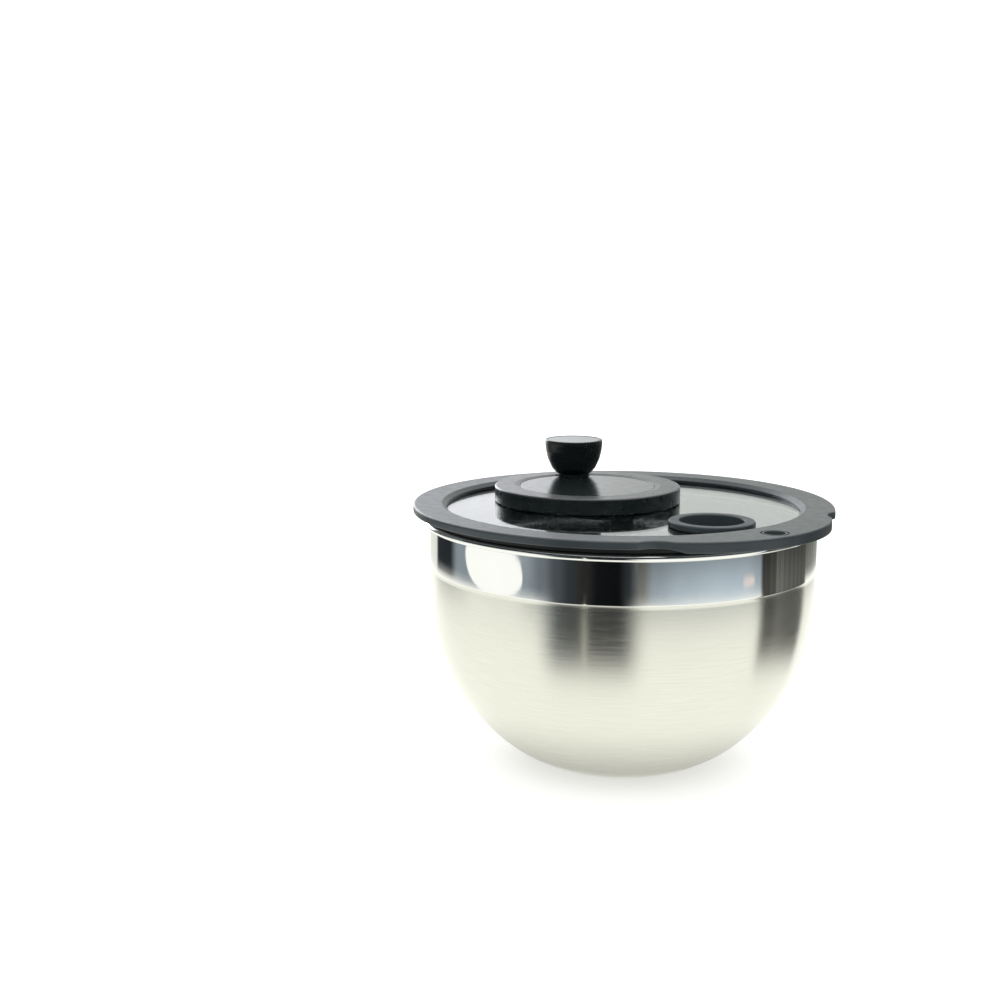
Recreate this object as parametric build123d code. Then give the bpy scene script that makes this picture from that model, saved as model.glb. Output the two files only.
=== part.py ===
from build123d import *
import os
from math import atan, cos, hypot, pi, radians, sin, sqrt, tan

# Salad spinner, in millimetres. The origin is the centre of the bowl's flat base, +Z is up
# and +X points to the grip tab of the lid. The basket turns about the Z axis. The crank drum
# turns about a second vertical axis, set back from it on the side opposite the tab.

# ---- bowl -------------------------------------------------------------------------------
BAND_R = 120.0            # outside of the polished band
BODY_R = 119.5            # outside of the brushed body, just under the step
FLOOR_R = 46.0            # flat base
STEP_Z = 124.0            # fine step between body and band
RIM_TOP = 154.4           # top of the rolled rim
BEAD_R = 2.3              # radius of the rolled rim
SHEET = 0.9               # steel thickness
ROUND_R = 1.38            # how the belly rounds in: exponent of the radius
ROUND_Z = 0.83            # and exponent of the height

# ---- glass --------------------------------------------------------------------------------
GLASS_R = 116.3
GLASS_TOP = 159.2
GLASS_THICK = 4.0
GLASS_LOW = GLASS_TOP - GLASS_THICK
GLASS_CHAMFER = 0.4

# ---- rubber ring ----------------------------------------------------------------------------
WINDOW_R = 109.5          # glass left open inside the ring
BEVEL_OUT_R = 112.5       # top of the bevel that leads down to the glass
RING_R = 130.4            # outside of the ring's flange
RING_TOP = 163.0
RING_ROUND = 1.2          # rounding of the flange's top edge
FLANGE = 4.5              # thickness of the ring's flange
CORE_TOP_R = 118.0        # the ring's core, under the flange
CORE_R = 122.0
SEAT_Z = RIM_TOP + 0.2    # underside that rests on the rim
SEAT_R = 121.6
LIP_OUT_R = 118.4         # sealing lip that reaches down inside the bowl
LIP_IN_R = 116.0
LIP_LOW = 148.3
LIP_BEVEL = 0.8
GROOVE_R = 111.5          # lower edge that wraps under the glass
WRAP_LOW = 152.8          # underside of that edge
TAB_THICK = 6.4           # thickness of the grip tab
TAB_TIP = 140.5           # how far the tab reaches
TAB_ROUND = 92.0          # radius of the tab's outline
TAB_START = RING_R - 15.0 # the thicker underside of the tab begins here
DIP_ANGLE = 33.5          # the finger dips beside the tab
DIP_R = 14.0
DIP_DEPTH = 3.2
HANG_X = 129.0            # hanging hole in the tab
HANG_R = 6.0
EYELET_IN = 1.2           # fine groove around the hanging hole
EYELET_OUT = 2.2
EYELET_DEPTH = 0.5

# ---- thumb well -----------------------------------------------------------------------------
WELL_X = 79.0
WELL_FLANGE_R = 25.5
WELL_R = 19.0             # inside of the well
WELL_WALL = 1.8
WELL_RISE = 3.8           # flange above the glass
WELL_LOW = 147.0          # underside of the well
WELL_GASKET = 0.4
LOCK_THICK = 3.2          # snap ring under the glass
NOTCHES = 4
NOTCH_WIDTH = 5.0
NOTCH_HIGH = 2.0

# ---- gear train ---------------------------------------------------------------------------
MODULE = 1.0
RING_TEETH = 85
PINION_TEETH = 17
PRESSURE = radians(25)
BACKLASH = 0.22           # taken off each tooth, along the pitch circle
ADDENDUM = 1.0 * MODULE
RING_ADDENDUM = 0.95 * MODULE
DEDENDUM = 1.25 * MODULE
CENTRES = MODULE * (RING_TEETH - PINION_TEETH) / 2
CRANK_X = -CENTRES        # crank axis
GEAR_RIM_R = MODULE * RING_TEETH / 2 + DEDENDUM + 1.85
FIT = 0.04                # radial clearance of a running fit

# ---- fixed drive parts, clamped through one hole in the glass ----------------------------------
CLAMP_X = -15.0
CLAMP_HOLE_R = 24.0
CLAMP_BOSS_R = CLAMP_HOLE_R - 0.3
GASKET = 0.6
GASKET_R = 30.0
BASE_R = 52.0
BASE_THICK = 1.9
BASE_LOW = GLASS_TOP + GASKET
BASE_TOP = BASE_LOW + BASE_THICK
CLAMP_TOP = GLASS_LOW - GASKET
CLAMP_THICK = 3.4
CLAMP_LOW = CLAMP_TOP - CLAMP_THICK
CLAMP_R = 32.0
CLAMP_CHAMFER = 1.2
POST_R = 5.0              # post that the drum turns on
POST_TOP = 166.0
POST_SHOULDER_R = 8.0
SCREW_RING_R = 17.5
SCREW_ANGLES = (50, 130, 230, 310)
CLAMP_THREAD_R = 1.4
CLAMP_HEAD_R = 3.1
CLAMP_SEAT = 1.2          # depth of the screw heads' seats
SHAFT_R = 3.5
BUSH_R = 6.0              # shaft bush
BUSH_FLANGE_R = 7.6
BUSH_FLANGE = 0.8
THREAD_R = 1.6            # centre screws of the post and of the shaft
POST_SCREW_HEAD_R = 3.0
POST_SCREW_HEAD = 1.1
POST_SCREW_DEPTH = 8.0
WASHER_R = 7.4
WASHER = 0.5

# ---- crank ----------------------------------------------------------------------------------
DRUM_R = 59.2
DRUM_TOP = 169.5
DRUM_LOW = GLASS_TOP + 0.5
DRUM_WALL = 2.4
DRUM_ROUND = 1.6          # bevelled shoulder between top and side
WEB_LOW = 166.8           # underside of the drum's top
WEB_HAUNCH = 2.0          # thickening where the top meets the skirt
HUB_BOSS_R = 10.0
COVER_R = 43.0
COVER_THICK = 1.0
COVER_TOP = 168.9
COVER_CHAMFER = 0.3
BEVEL_R = 46.5            # start of the bevel that leads down to the cover
GEAR_LOW = BASE_TOP + 0.6
GEAR_TOP = WEB_LOW - 0.8

# ---- knob -----------------------------------------------------------------------------------
KNOB_THROW = 44.0
KNOB_ANGLE = 152.0
KNOB_LOW = 170.9
KNOB_TOP = 193.1
KNOB_FOOT_R = 11.6
KNOB_WAIST_R = 12.2       # just above the foot
KNOB_BOSS_R = 10.6        # boss on the drum that the knob stands over
KNOB_BOSS_TOP = KNOB_LOW - 0.4
KNOB_R = 19.0
KNOB_SHOULDER_R = 18.9    # just under the rim
KNOB_RIM_R = 18.3
PIN_R = 3.0
PIN_TOP = 187.0
PIN_FLANGE_R = 6.0        # flange of the pin, moulded into the drum's top
PIN_FLANGE = 1.2
KNOB_SCREW_R = 1.5
KNOB_SCREW_DEPTH = 7.0
SCREW_HEAD_R = 4.4
KNOB_HEAD = 2.0
BUSH_OUT = 5.0            # bush pressed into the knob, and the same bush in the basket
BUSH_TOP = PIN_TOP - 0.4
SCREW_ROOM_R = 6.5        # hollow above the bush, under the cap
CAP_R = 17.4
CAP_THICK = 1.6
CAP_LOW = KNOB_TOP - CAP_THICK
CAP_DROP = 0.2            # the cap lies this far under the knob's rim
CAP_ROUND = 0.4

# ---- driver disc ---------------------------------------------------------------------------------
DISC_R = 103.0
DISC_LOW = 142.0
DISC_THICK = 1.8
DISC_TOP = DISC_LOW + DISC_THICK
DISC_EDGE = 1.6           # width of the raised edge
DISC_EDGE_RISE = 1.0
RIB_TOP = 145.8
RIB_THICK = 1.4
RIBS = 12
COLLAR_IN = 3.6           # rib collar around the hub, beyond the hub's sleeve
COLLAR_OUT = 5.0
LUGS = 4
LUG_R = 107.4
LUG_WIDTH = 9.0
HUB_R = 7.0
HUB_TOP = 148.9
HUB_FLANGE_R = 16.0
HUB_FLANGE = 1.6
SHAFT_LOW = DISC_LOW - 1.0
HUB_HEAD = 1.6

# ---- basket ----------------------------------------------------------------------------------------
BASKET_R = 110.6
BASKET_RIM_R = 112.6
BASKET_RIM = 2.5          # height of the rim
BASKET_TOP = 146.5
BASKET_SIDE_Z = 122.0     # below this the wall rounds in
BASKET_FLOOR_R = 46.0
BASKET_FLOOR_Z = 16.0
BASKET_WALL = 2.0
LEDGE_R = 104.0
LEDGE_LOW = 141.0
LEDGE_ROOT = 137.0
NOTCH_GAP = 0.6           # play of a driving lug in its notch, each side
NOTCH_DEPTH = 5.5
COLUMNS = 40              # windows in the rounded wall
ROWS = 4
ROW_HEIGHT = 8.5
ROW_PITCH = 12.5
ROW_TOP_GAP = 6.0
WINDOW_WIDTH = 11.0
WINDOW_REACH = 24.0
SLOT_COLUMNS = 72         # narrow slots in the upright wall
SLOT_Z = 128.0
SLOT_WIDTH = 4.6
SLOT_HIGH = 12.0
FLOOR_SLOT = 9.0          # radial length of the floor's slots
FLOOR_RINGS = (           # radius, count and width of each ring of floor slots
    (86.0, 36, 8.5),
    (66.0, 30, 8.0),
    (40.0, 20, 6.5),
    (24.0, 12, 6.5),
)
PIVOT_BOSS_R = 9.0

# ---- basket foot ---------------------------------------------------------------------------------------
PAD_R = 24.0
PAD_THICK = 2.0
PAD_GROOVE_OUT = 5.0
PAD_GROOVE_IN = 7.0
PAD_GROOVE_DEPTH = 0.6
FOOT_LOW = SHEET + PAD_THICK
FOOT_R = PAD_R + 1.0
FOOT_THICK = 3.6
FOOT_ROUND = 1.5
FOOT_POST_R = 7.5
FOOT_POST_TOP = 12.0
PIVOT_SEAT = 1.0          # floor left under the pivot pin
PIVOT_LOW = FOOT_POST_TOP + 0.3
PIVOT_TOP = 24.0
PIVOT_CHAMFER = 0.8
PIVOT_ROOM = 0.6          # room above the pivot pin

OVER = 1.0                # how far a cutter runs past the faces that it opens


def save(name, shape):
    """Write one piece, or one group of identical fasteners, to its own file."""
    shape.label = name
    export_step(shape, f"parts/{name}.step")


def disc(radius, low, top, x=0.0, y=0.0):
    """A round plate or rod standing on z = low."""
    return Pos(x, y, low) * extrude(Circle(radius), top - low)


def tube(outer, inner, low, top, x=0.0, y=0.0):
    return disc(outer, low, top, x, y) - disc(inner, low - OVER, top + OVER, x, y)


def lathe(points, x=0.0, y=0.0):
    """Turn a closed outline of (radius, height) about a vertical axis."""
    outline = make_face(Polyline([(r, 0, z) for r, z in points], close=True))
    return Pos(x, y, 0) * revolve(outline, Axis.Z)


def around(count, radius, start=0.0):
    """Places on a circle, each turned to face outwards."""
    for k in range(count):
        yield Rot(0, 0, start + 360.0 * k / count) * Pos(radius, 0, 0)


# ---- bowl ------------------------------------------------------------------------------------------
def belly(t, wide, floor_r, high, floor_z, inset=0.0):
    """A point of the rounded wall: t is 0 at the top and 90 degrees at the floor."""
    def spot(a):
        r = floor_r + (wide - floor_r) * max(cos(a), 0.0) ** ROUND_R
        z = high - (high - floor_z) * sin(a) ** ROUND_Z
        return r, z
    r, z = spot(t)
    if inset == 0.0:
        return r, z
    near = max(t - 1e-4, 1e-6)
    far = min(t + 1e-4, pi / 2 - 1e-6)
    dr = spot(far)[0] - spot(near)[0]
    dz = spot(far)[1] - spot(near)[1]
    size = hypot(dr, dz)
    return r + inset * dz / size, z - inset * dr / size


def belly_curve(inset, *shape):
    steps = 14
    points = [belly(0.5 * pi * (k / steps) ** 1.25, *shape, inset=inset) for k in range(steps + 1)]
    points[0] = (shape[0] - inset, shape[2])
    points[-1] = (shape[1], shape[3] + inset)
    return Spline([(r, 0, z) for r, z in points], tangents=[(0, 0, -1), (-1, 0, 0)])


def make_bowl():
    shape = (BODY_R, FLOOR_R, STEP_Z, 0.0)
    outer = belly_curve(0.0, *shape)
    inner = belly_curve(SHEET, *shape)
    bead_x = BAND_R - SHEET + BEAD_R
    bead_z = RIM_TOP - BEAD_R
    wall = BAND_R - SHEET
    section = make_face([
        Line((0, 0, 0), (FLOOR_R, 0, 0)),
        outer,
        Polyline((BODY_R, 0, STEP_Z), (BAND_R, 0, STEP_Z + 0.5), (BAND_R, 0, bead_z),
                 (wall, 0, bead_z), (wall, 0, STEP_Z + 0.5), (BODY_R - SHEET, 0, STEP_Z)),
        inner,
        Polyline((FLOOR_R, 0, SHEET), (0, 0, SHEET), (0, 0, 0)),
    ])
    shell = revolve(section, Axis.Z)
    bead = Pos(0, 0, bead_z) * Torus(bead_x, BEAD_R)
    return shell + bead


# ---- lid -------------------------------------------------------------------------------------------
def make_glass():
    plate = disc(GLASS_R, GLASS_LOW, GLASS_TOP)
    plate = chamfer(plate.edges().filter_by(GeomType.CIRCLE), GLASS_CHAMFER)
    plate -= disc(CLAMP_HOLE_R, GLASS_LOW - OVER, GLASS_TOP + OVER, CLAMP_X)
    return plate - disc(WELL_R + WELL_WALL + 0.4, GLASS_LOW - OVER, GLASS_TOP + OVER, WELL_X)


def tab_outline():
    """Plan of the flange: a round with a broad tab and a finger dip on each side of it."""
    plan = Circle(RING_R)
    side = Rot(0, 0, DIP_ANGLE) * Pos(RING_R, 0, 0)
    half = side.position.Y
    tab = Pos(TAB_TIP - TAB_ROUND, 0, 0) * Circle(TAB_ROUND)
    keep = Pos(RING_R, 0, 0) * Rectangle(2 * RING_R * (1 - cos(radians(DIP_ANGLE))), 2 * half)
    plan += tab & keep
    for turn in (-DIP_ANGLE, DIP_ANGLE):
        plan -= Rot(0, 0, turn) * Pos(RING_R + DIP_R - DIP_DEPTH, 0, 0) * Circle(DIP_R)
    return plan


def make_ring():
    """The moulded rubber ring: flange and tab, groove for the glass, seat and sealing lip."""
    plan = tab_outline()
    flange = Pos(0, 0, RING_TOP - FLANGE) * extrude(plan, FLANGE)
    reach = 2 * (TAB_TIP - TAB_START)
    front = Pos(TAB_START + reach / 2, 0, 0) * Box(reach, 2 * RING_R, 4 * TAB_THICK)
    beyond = extrude(plan, TAB_THICK) & front
    tab_body = beyond - disc(RING_R - 5.0, -OVER, TAB_THICK + OVER)
    flange += Pos(0, 0, RING_TOP - TAB_THICK) * tab_body
    top = flange.faces().sort_by(Axis.Z)[-1]
    flange = fillet(top.edges(), RING_ROUND)
    flange -= disc(BEVEL_OUT_R, RING_TOP - 2 * FLANGE, RING_TOP + OVER)
    flange -= disc(GLASS_R + OVER, RING_TOP - 2 * FLANGE, RING_TOP - OVER)
    lip_top = LIP_LOW + 1.1
    core = lathe([
        (WINDOW_R, GLASS_TOP), (WINDOW_R, GLASS_TOP + 1.6), (BEVEL_OUT_R, RING_TOP), (CORE_TOP_R, RING_TOP),
        (CORE_R, RING_TOP - FLANGE), (SEAT_R, SEAT_Z), (LIP_OUT_R, SEAT_Z), (LIP_OUT_R, lip_top),
        (LIP_OUT_R - LIP_BEVEL, LIP_LOW), (LIP_IN_R + LIP_BEVEL, LIP_LOW), (LIP_IN_R, lip_top),
        (LIP_IN_R - LIP_BEVEL, WRAP_LOW), (GROOVE_R, WRAP_LOW + 0.2), (GROOVE_R, GLASS_LOW),
        (GLASS_R, GLASS_LOW), (GLASS_R, GLASS_TOP),
    ])
    ring = flange + core
    ring -= disc(HANG_R, RING_TOP - 2 * TAB_THICK, RING_TOP + OVER, HANG_X)
    low = RING_TOP - EYELET_DEPTH
    return ring - tube(HANG_R + EYELET_OUT, HANG_R + EYELET_IN, low, RING_TOP + OVER, HANG_X)


def make_well():
    outer = WELL_R + WELL_WALL
    top = GLASS_TOP + WELL_RISE
    under = GLASS_TOP + WELL_GASKET
    return lathe([
        (0, WELL_LOW), (outer - 2.5, WELL_LOW), (outer, WELL_LOW + 2.5), (outer, under),
        (WELL_FLANGE_R, under), (WELL_FLANGE_R, top - 1.0), (WELL_FLANGE_R - 1.0, top),
        (WELL_R + 0.8, top), (WELL_R, top - 0.8), (WELL_R, WELL_LOW + 5.0),
        (WELL_R - 3.0, WELL_LOW + WELL_WALL), (0, WELL_LOW + WELL_WALL),
    ], WELL_X)


def make_well_gasket():
    return tube(WELL_FLANGE_R - 1.0, WELL_R + WELL_WALL, GLASS_TOP, GLASS_TOP + WELL_GASKET, WELL_X)


def make_well_ring():
    """Snap ring that holds the well from under the glass, with grip notches."""
    ring = tube(WELL_FLANGE_R, WELL_R + WELL_WALL, GLASS_LOW - LOCK_THICK, GLASS_LOW, WELL_X)
    for place in around(NOTCHES, WELL_FLANGE_R):
        ring -= Pos(WELL_X, 0, GLASS_LOW - 2.4) * place * Box(3.0, NOTCH_WIDTH, NOTCH_HIGH)
    return ring


def make_drive_base():
    """Bed plate under the drum, its boss through the glass and the post the drum turns on."""
    base = disc(BASE_R, BASE_LOW, BASE_TOP, CRANK_X)
    base += disc(CLAMP_BOSS_R, CLAMP_TOP, BASE_LOW, CLAMP_X)
    base += disc(POST_SHOULDER_R, BASE_TOP, BASE_TOP + 0.4, CRANK_X)
    base += disc(POST_R, BASE_TOP, POST_TOP, CRANK_X)
    base -= disc(THREAD_R, POST_TOP - POST_SCREW_DEPTH - OVER, POST_TOP + OVER, CRANK_X)
    base -= disc(BUSH_R, CLAMP_TOP - OVER, BASE_TOP + OVER)
    for place in clamp_screw_places():
        base -= place * disc(CLAMP_THREAD_R, CLAMP_TOP - OVER, BASE_LOW)
    return base


def clamp_screw_places():
    for angle in SCREW_ANGLES:
        turn = radians(angle)
        yield Pos(CLAMP_X + SCREW_RING_R * cos(turn), SCREW_RING_R * sin(turn), 0)


def make_clamp_plate():
    plate = disc(CLAMP_R, CLAMP_LOW, CLAMP_TOP, CLAMP_X)
    plate = chamfer(plate.edges().sort_by(Axis.Z)[0], CLAMP_CHAMFER)
    plate -= disc(BUSH_R, CLAMP_LOW - OVER, CLAMP_TOP + OVER)
    for place in clamp_screw_places():
        plate -= place * disc(CLAMP_THREAD_R + 0.3, CLAMP_LOW - OVER, CLAMP_TOP + OVER)
        plate -= place * disc(CLAMP_HEAD_R + 0.3, CLAMP_LOW - OVER, CLAMP_LOW + CLAMP_SEAT)
    return plate


def pan_screw(head_r, head_low, head_top, thread_r, tip, seat_up):
    """A pan-head screw on the Z axis; seat_up says that its head sits below its thread."""
    head = disc(head_r, head_low, head_top)
    crown = head.edges().sort_by(Axis.Z)[0 if seat_up else -1]
    head = fillet(crown, 0.35 * (head_top - head_low))
    cross_z = head_low if seat_up else head_top
    for turn in (0, 90):
        head -= Pos(0, 0, cross_z) * Rot(0, 0, turn) * Box(1.15 * head_r, 0.16 * head_r, 0.8)
    low, top = (head_top, tip) if seat_up else (tip, head_low)
    return head + disc(thread_r, low, top)


def make_clamp_screws():
    head_top = CLAMP_LOW + CLAMP_SEAT
    screw = pan_screw(CLAMP_HEAD_R, CLAMP_LOW - 0.7, head_top, CLAMP_THREAD_R, BASE_LOW - 0.6, True)
    return Compound(children=[place * screw for place in clamp_screw_places()])


# ---- gears -----------------------------------------------------------------------------------------
def involute(angle):
    return tan(angle) - angle


def tooth_half_angle(radius, teeth, thickness):
    """Half of the angle that a tooth of this pitch thickness covers at a radius."""
    pitch_r = MODULE * teeth / 2
    base_r = pitch_r * cos(PRESSURE)
    roll = atan(sqrt(max(radius * radius - base_r * base_r, 0.0)) / base_r)
    return thickness / (2 * pitch_r) + involute(PRESSURE) - involute(roll)


def gear_outline(teeth, root, tip, thickness, phase):
    """Closed plan outline of an external gear with involute flanks."""
    base_r = MODULE * teeth / 2 * cos(PRESSURE)
    start = max(root, base_r)
    flank = [start + (tip - start) * k / 3 for k in range(4)]
    points = []
    for k in range(teeth):
        middle = phase + 2 * pi * k / teeth
        rise = [(r, middle - tooth_half_angle(r, teeth, thickness)) for r in flank]
        fall = [(r, 2 * middle - a) for r, a in reversed(rise)]
        foot = (root, rise[0][1])
        end = (root, fall[-1][1])
        whole = [foot] + rise + fall + [end] if root < base_r else rise + fall
        points += [(r * cos(a), r * sin(a)) for r, a in whole]
    return make_face(Polyline(points, close=True))


def make_pinion():
    pitch = MODULE * PINION_TEETH / 2
    thick = MODULE * pi / 2 - BACKLASH
    plan = gear_outline(PINION_TEETH, pitch - DEDENDUM, pitch + ADDENDUM, thick, 0.0)
    gear = Pos(0, 0, GEAR_LOW) * extrude(plan, GEAR_TOP - GEAR_LOW)
    return gear - disc(SHAFT_R, GEAR_LOW - OVER, GEAR_TOP + OVER)


def make_ring_gear():
    """Internal gear under the drum: the gap between its teeth is an external tooth."""
    pitch = MODULE * RING_TEETH / 2
    gap = MODULE * pi / 2 + BACKLASH
    plan = gear_outline(RING_TEETH, pitch - RING_ADDENDUM, pitch + DEDENDUM, gap, 0.0)
    cutter = Pos(CRANK_X, 0, GEAR_LOW - OVER) * extrude(plan, WEB_LOW - GEAR_LOW + 2 * OVER)
    return disc(GEAR_RIM_R, GEAR_LOW, WEB_LOW, CRANK_X) - cutter


# ---- crank -------------------------------------------------------------------------------------------
def knob_place():
    turn = radians(KNOB_ANGLE)
    return Pos(CRANK_X + KNOB_THROW * cos(turn), KNOB_THROW * sin(turn), 0)


def make_drum():
    """Shallow drum: top with a recess for the cover, skirt, hub and the boss of the knob pin."""
    skirt_in = DRUM_R - DRUM_WALL
    recess = COVER_TOP - COVER_THICK
    drum = lathe([
        (0, WEB_LOW), (skirt_in - WEB_HAUNCH, WEB_LOW), (skirt_in, WEB_LOW - WEB_HAUNCH),
        (skirt_in, DRUM_LOW), (DRUM_R - 0.4, DRUM_LOW), (DRUM_R, DRUM_LOW + 0.4),
        (DRUM_R, DRUM_TOP - DRUM_ROUND),
        (DRUM_R - 0.5, DRUM_TOP - 0.5), (DRUM_R - DRUM_ROUND, DRUM_TOP), (BEVEL_R, DRUM_TOP),
        (COVER_R, COVER_TOP), (COVER_R, recess), (0, recess),
    ], CRANK_X)
    drum += disc(HUB_BOSS_R, GEAR_LOW, WEB_LOW, CRANK_X)
    drum += knob_place() * disc(KNOB_BOSS_R, WEB_LOW + 0.7, KNOB_BOSS_TOP)
    drum -= disc(POST_R + FIT, GEAR_LOW - OVER, DRUM_TOP + OVER, CRANK_X)
    drum -= disc(POST_SHOULDER_R, POST_TOP - 0.2, DRUM_TOP + OVER, CRANK_X)
    drum -= knob_place() * disc(PIN_R, WEB_LOW - OVER, KNOB_BOSS_TOP + OVER)
    return drum - knob_place() * disc(PIN_FLANGE_R, WEB_LOW - OVER, WEB_LOW + PIN_FLANGE)


def make_cover():
    cover = disc(COVER_R, COVER_TOP - COVER_THICK, COVER_TOP, CRANK_X)
    cover = chamfer(cover.edges().sort_by(Axis.Z)[-1], COVER_CHAMFER)
    return cover - knob_place() * disc(KNOB_BOSS_R, COVER_TOP - 2 * COVER_THICK, COVER_TOP + OVER)


def make_post_washer():
    return tube(WASHER_R, THREAD_R, POST_TOP, POST_TOP + WASHER, CRANK_X)


def make_post_screw():
    low = POST_TOP + WASHER
    tip = POST_TOP - POST_SCREW_DEPTH
    screw = pan_screw(POST_SCREW_HEAD_R, low, low + POST_SCREW_HEAD, THREAD_R, tip, False)
    return Pos(CRANK_X, 0, 0) * screw


def make_knob_pin():
    pin = disc(PIN_R, WEB_LOW, PIN_TOP) + disc(PIN_FLANGE_R, WEB_LOW, WEB_LOW + PIN_FLANGE)
    return knob_place() * (pin - disc(KNOB_SCREW_R, PIN_TOP - KNOB_SCREW_DEPTH - OVER, PIN_TOP + OVER))


def make_knob_screw():
    tip = PIN_TOP - KNOB_SCREW_DEPTH
    return knob_place() * pan_screw(SCREW_HEAD_R, PIN_TOP, PIN_TOP + KNOB_HEAD, KNOB_SCREW_R, tip, False)


def make_knob():
    """Upturned cup shape: narrow waist below, widest just under a flat top."""
    foot = (KNOB_FOOT_R, 0, KNOB_LOW)
    waist = (KNOB_WAIST_R, 0, KNOB_LOW + 0.5)
    shoulder = (KNOB_SHOULDER_R, 0, KNOB_TOP - 0.7)
    rim = (KNOB_RIM_R, 0, KNOB_TOP)
    side = Spline(
        waist, (14.5, 0, KNOB_LOW + 3.4), (17.3, 0, KNOB_LOW + 9.4),
        (18.4, 0, KNOB_LOW + 14.5), (KNOB_R, 0, KNOB_TOP - 3.0), shoulder,
    )
    section = make_face([
        Polyline((0, 0, KNOB_LOW), foot, waist),
        side,
        Polyline(shoulder, rim, (CAP_R, 0, KNOB_TOP), (CAP_R, 0, CAP_LOW), (0, 0, CAP_LOW),
                 (0, 0, KNOB_LOW)),
    ])
    knob = revolve(section, Axis.Z)
    knob -= disc(BUSH_OUT, KNOB_LOW - OVER, BUSH_TOP)
    knob -= disc(SCREW_ROOM_R, BUSH_TOP, CAP_LOW + OVER)
    return knob_place() * knob


def make_knob_bush():
    return knob_place() * tube(BUSH_OUT, PIN_R + FIT, KNOB_LOW + 0.2, BUSH_TOP)


def make_knob_cap():
    cap = disc(CAP_R, CAP_LOW, KNOB_TOP - CAP_DROP)
    cap = fillet(cap.edges().sort_by(Axis.Z)[-1], CAP_ROUND)
    return knob_place() * cap


# ---- driver --------------------------------------------------------------------------------------------
def make_shaft_bush():
    low = CLAMP_LOW - BUSH_FLANGE
    bush = disc(BUSH_R, CLAMP_LOW, BASE_TOP) + disc(BUSH_FLANGE_R, low, CLAMP_LOW)
    return bush - disc(SHAFT_R + FIT, low - OVER, BASE_TOP + OVER)


def make_shaft():
    shaft = disc(SHAFT_R, SHAFT_LOW, GEAR_TOP + 0.4)
    return shaft - disc(THREAD_R, SHAFT_LOW - OVER, SHAFT_LOW + POST_SCREW_DEPTH)


def make_disc():
    """Clear disc under the glass: radial ribs, a raised edge and lugs that turn the basket."""
    plate = disc(DISC_R, DISC_LOW, DISC_TOP)
    plate += tube(DISC_R, DISC_R - DISC_EDGE, DISC_TOP, DISC_TOP + DISC_EDGE_RISE)
    plate += tube(HUB_R + COLLAR_OUT, HUB_R + COLLAR_IN, DISC_TOP, RIB_TOP)
    inner, outer = HUB_R + COLLAR_IN + 0.4, DISC_R - OVER
    rib = Pos(0, 0, (DISC_TOP + RIB_TOP) / 2) * Box(outer - inner, RIB_THICK, RIB_TOP - DISC_TOP)
    for place in around(RIBS, (inner + outer) / 2, 180.0 / RIBS):
        plate += place * rib
    root = DISC_R - 2.0
    lug = Pos(0, 0, DISC_LOW + DISC_THICK / 2) * Box(LUG_R - root, LUG_WIDTH, DISC_THICK)
    for place in around(LUGS, (root + LUG_R) / 2):
        plate += place * lug
    return plate - disc(HUB_R, DISC_LOW - OVER, RIB_TOP + OVER)


def make_hub():
    """Collar that carries the disc on the shaft: sleeve above, flange below."""
    low = DISC_LOW - HUB_FLANGE
    hub = disc(HUB_R, DISC_LOW, HUB_TOP) + disc(HUB_FLANGE_R, low, DISC_LOW)
    return hub - disc(SHAFT_R, SHAFT_LOW, HUB_TOP + OVER) - disc(THREAD_R + 0.1, low - OVER, SHAFT_LOW)


def make_hub_screw():
    seat = DISC_LOW - HUB_FLANGE
    tip = SHAFT_LOW + POST_SCREW_DEPTH - OVER
    return pan_screw(SCREW_HEAD_R, seat - HUB_HEAD, seat, THREAD_R, tip, True)


# ---- basket ----------------------------------------------------------------------------------------------
def basket_shell():
    """The turned shell: rounded wall, rim, and the ledge that the driving notches are cut in."""
    shape = (BASKET_R, BASKET_FLOOR_R, BASKET_SIDE_Z, BASKET_FLOOR_Z)
    wall_in = BASKET_R - BASKET_WALL
    floor_top = BASKET_FLOOR_Z + BASKET_WALL
    section = make_face([
        Line((0, 0, BASKET_FLOOR_Z), (BASKET_FLOOR_R, 0, BASKET_FLOOR_Z)),
        belly_curve(0.0, *shape),
        Polyline(
            (BASKET_R, 0, BASKET_SIDE_Z), (BASKET_R, 0, BASKET_TOP - BASKET_RIM - 0.5),
            (BASKET_RIM_R, 0, BASKET_TOP - BASKET_RIM), (BASKET_RIM_R, 0, BASKET_TOP),
            (LEDGE_R, 0, BASKET_TOP), (LEDGE_R, 0, LEDGE_LOW), (wall_in, 0, LEDGE_ROOT),
            (wall_in, 0, BASKET_SIDE_Z),
        ),
        belly_curve(BASKET_WALL, *shape),
        Polyline((BASKET_FLOOR_R, 0, floor_top), (0, 0, floor_top), (0, 0, BASKET_FLOOR_Z)),
    ])
    return revolve(section, Axis.Z)


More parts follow.
